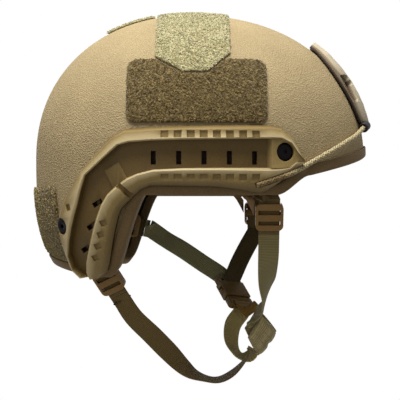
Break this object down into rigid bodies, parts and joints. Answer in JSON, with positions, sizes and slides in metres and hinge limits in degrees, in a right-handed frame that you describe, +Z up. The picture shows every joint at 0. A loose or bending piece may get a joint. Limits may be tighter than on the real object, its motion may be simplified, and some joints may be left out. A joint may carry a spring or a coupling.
{
  "type": "combat helmet",
  "caption": "High-cut combat helmet with side accessory rails, front mount plate, loop panels, padded dial-fit liner and a four-strap chin harness with buckle.",
  "frame": {"origin": "middle of the head cavity at the height of the ear rim", "axes": "+X to the front, +Y to the wearer's left, +Z up"},
  "size_m": [0.2814, 0.2458, 0.3073],
  "materials": {
    "shell": "matt textured paint",
    "trim": "matt",
    "rail": "matt moulded",
    "screws": "satin black",
    "nuts": "satin",
    "plate": "matt moulded",
    "gasket": "matt",
    "hooks": "matt",
    "cords": "braided",
    "loop": "loop pile",
    "hook_patch": "hook pile",
    "pads": "knitted",
    "dial": "matt",
    "webbing": "woven",
    "tan_webbing": "woven",
    "sliders": "matt",
    "buckle": "matt",
    "cup": "woven",
    "cup_pad": "knitted"
  },
  "bodies": {
    "helmet": {"shell": "shell", "edge_trim": "trim", "right_rail": "rail", "left_rail": "rail", "front_rail_bolts": "screws", "rear_rail_bolts": "screws", "front_rail_nuts": "nuts", "rear_rail_nuts": "nuts", "mount_plate": "plate", "mount_gasket": "gasket", "mount_screws": "screws", "mount_nuts": "nuts", "cord_hooks": "hooks", "right_elastic_cord": "cords", "left_elastic_cord": "cords", "top_loop_panel": "loop", "crown_loop_panel": "loop", "right_loop_panel": "loop", "left_loop_panel": "loop", "rear_loop_panel": "loop", "hook_patches": "hook_patch", "crown_pad": "pads", "front_pad": "pads", "rear_pad": "pads", "right_side_pads": "pads", "left_side_pads": "pads", "ear_pads": "pads", "dial_base": "dial", "dial_cover": "dial", "dial_screws": "screws", "dial_hanger": "webbing", "nape_pad": "pads", "right_front_web": "tan_webbing", "left_front_web": "tan_webbing", "right_rear_web": "webbing", "left_rear_web": "webbing", "right_front_strap": "webbing", "right_rear_strap": "webbing", "left_front_strap": "webbing", "left_rear_strap": "webbing", "buckle_female": "buckle"},
    "dial": {"dial_pinion": "dial", "dial_knob": "dial"},
    "right_rack_band": {"right_band": "dial"},
    "left_rack_band": {"left_band": "dial"},
    "front_right_slider": {"right_front_slider": "sliders"},
    "front_left_slider": {"left_front_slider": "sliders"},
    "rear_right_slider": {"right_rear_slider": "sliders"},
    "rear_left_slider": {"left_rear_slider": "sliders"},
    "chin_strap": {"buckle_male": "buckle", "buckle_latches": "buckle", "left_upper_chin_strap": "tan_webbing", "left_lower_chin_strap": "webbing", "chin_cup": "cup", "chin_cup_pad": "cup_pad"}
  },
  "joints": [
    {"name": "dial_turn", "type": "hinge", "parent": "helmet", "child": "dial", "pos_m": [-0.098, 0, -0.036], "axis": [1, 0, 0], "range_deg": [-90, 90]},
    {"name": "right_band_slide", "type": "slide", "parent": "helmet", "child": "right_rack_band", "axis": [0, -1, 0], "range_m": [-0.00943, 0.00943]},
    {"name": "left_band_slide", "type": "slide", "parent": "helmet", "child": "left_rack_band", "axis": [0, 1, 0], "range_m": [-0.00943, 0.00943]},
    {"name": "front_right_slider_slide", "type": "slide", "parent": "helmet", "child": "front_right_slider", "axis": [0, 0.2873, -0.9578], "range_m": [-0.0015, 0.005]},
    {"name": "front_left_slider_slide", "type": "slide", "parent": "helmet", "child": "front_left_slider", "axis": [0, -0.2873, -0.9578], "range_m": [-0.0015, 0.005]},
    {"name": "rear_right_slider_slide", "type": "slide", "parent": "helmet", "child": "rear_right_slider", "axis": [0.5025, 0.2613, -0.8241], "range_m": [-0.0015, 0.005]},
    {"name": "rear_left_slider_slide", "type": "slide", "parent": "helmet", "child": "rear_left_slider", "axis": [0.9584, 0.2018, -0.2018], "range_m": [-0.0015, 0.005]},
    {"name": "buckle_release", "type": "slide", "parent": "helmet", "child": "chin_strap", "axis": [0.33, -0.76, -0.56], "range_m": [0, 0.022], "deforming": ["buckle_latches", "right_front_strap", "right_rear_strap"]}
  ],
  "couplings": [
    {"joint": "right_band_slide", "follows": "dial_turn", "m_per_rad": 0.006},
    {"joint": "left_band_slide", "follows": "dial_turn", "m_per_rad": 0.006}
  ]
}
